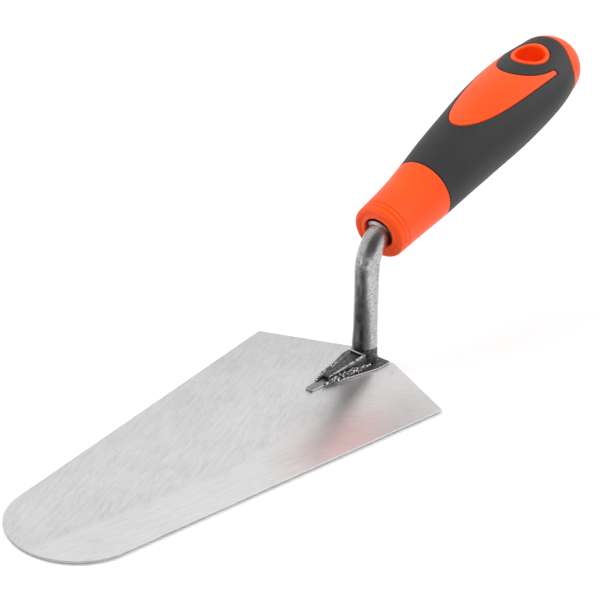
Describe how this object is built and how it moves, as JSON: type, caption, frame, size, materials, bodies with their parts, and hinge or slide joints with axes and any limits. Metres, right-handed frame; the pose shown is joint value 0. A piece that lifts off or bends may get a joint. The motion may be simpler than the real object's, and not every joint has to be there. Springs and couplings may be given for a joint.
{
  "type": "brick trowel",
  "caption": "Trowel with a round-nosed tapering flat blade, a cranked round tang on a pointed welded foot, and a two-material handle with a hang hole.",
  "frame": {"origin": "on the blade's flat underside, on its centreline at the widest point, between the two shoulder corners", "axes": "+X toward the butt of the handle, so the rounded nose points along -X; +Z out of the blade's upper face, toward the handle; +Y across the blade"},
  "size_m": [0.3264, 0.0936, 0.1142],
  "materials": {
    "ground_steel": "satin, ground in fine streaks",
    "forged_steel": "semi-bright, with small dark pits and marks",
    "weld_steel": "rough weld bead with bright spots",
    "orange_plastic": "semi-gloss moulded plastic",
    "grey_rubber": "matte soft-touch rubber"
  },
  "bodies": {
    "root": {"blade": "ground_steel", "foot_plate": "forged_steel", "tang": "forged_steel", "weld_left": "weld_steel", "weld_right": "weld_steel", "weld_heel": "weld_steel", "handle_core": "orange_plastic", "soft_grip": "grey_rubber"}
  },
  "joints": []
}
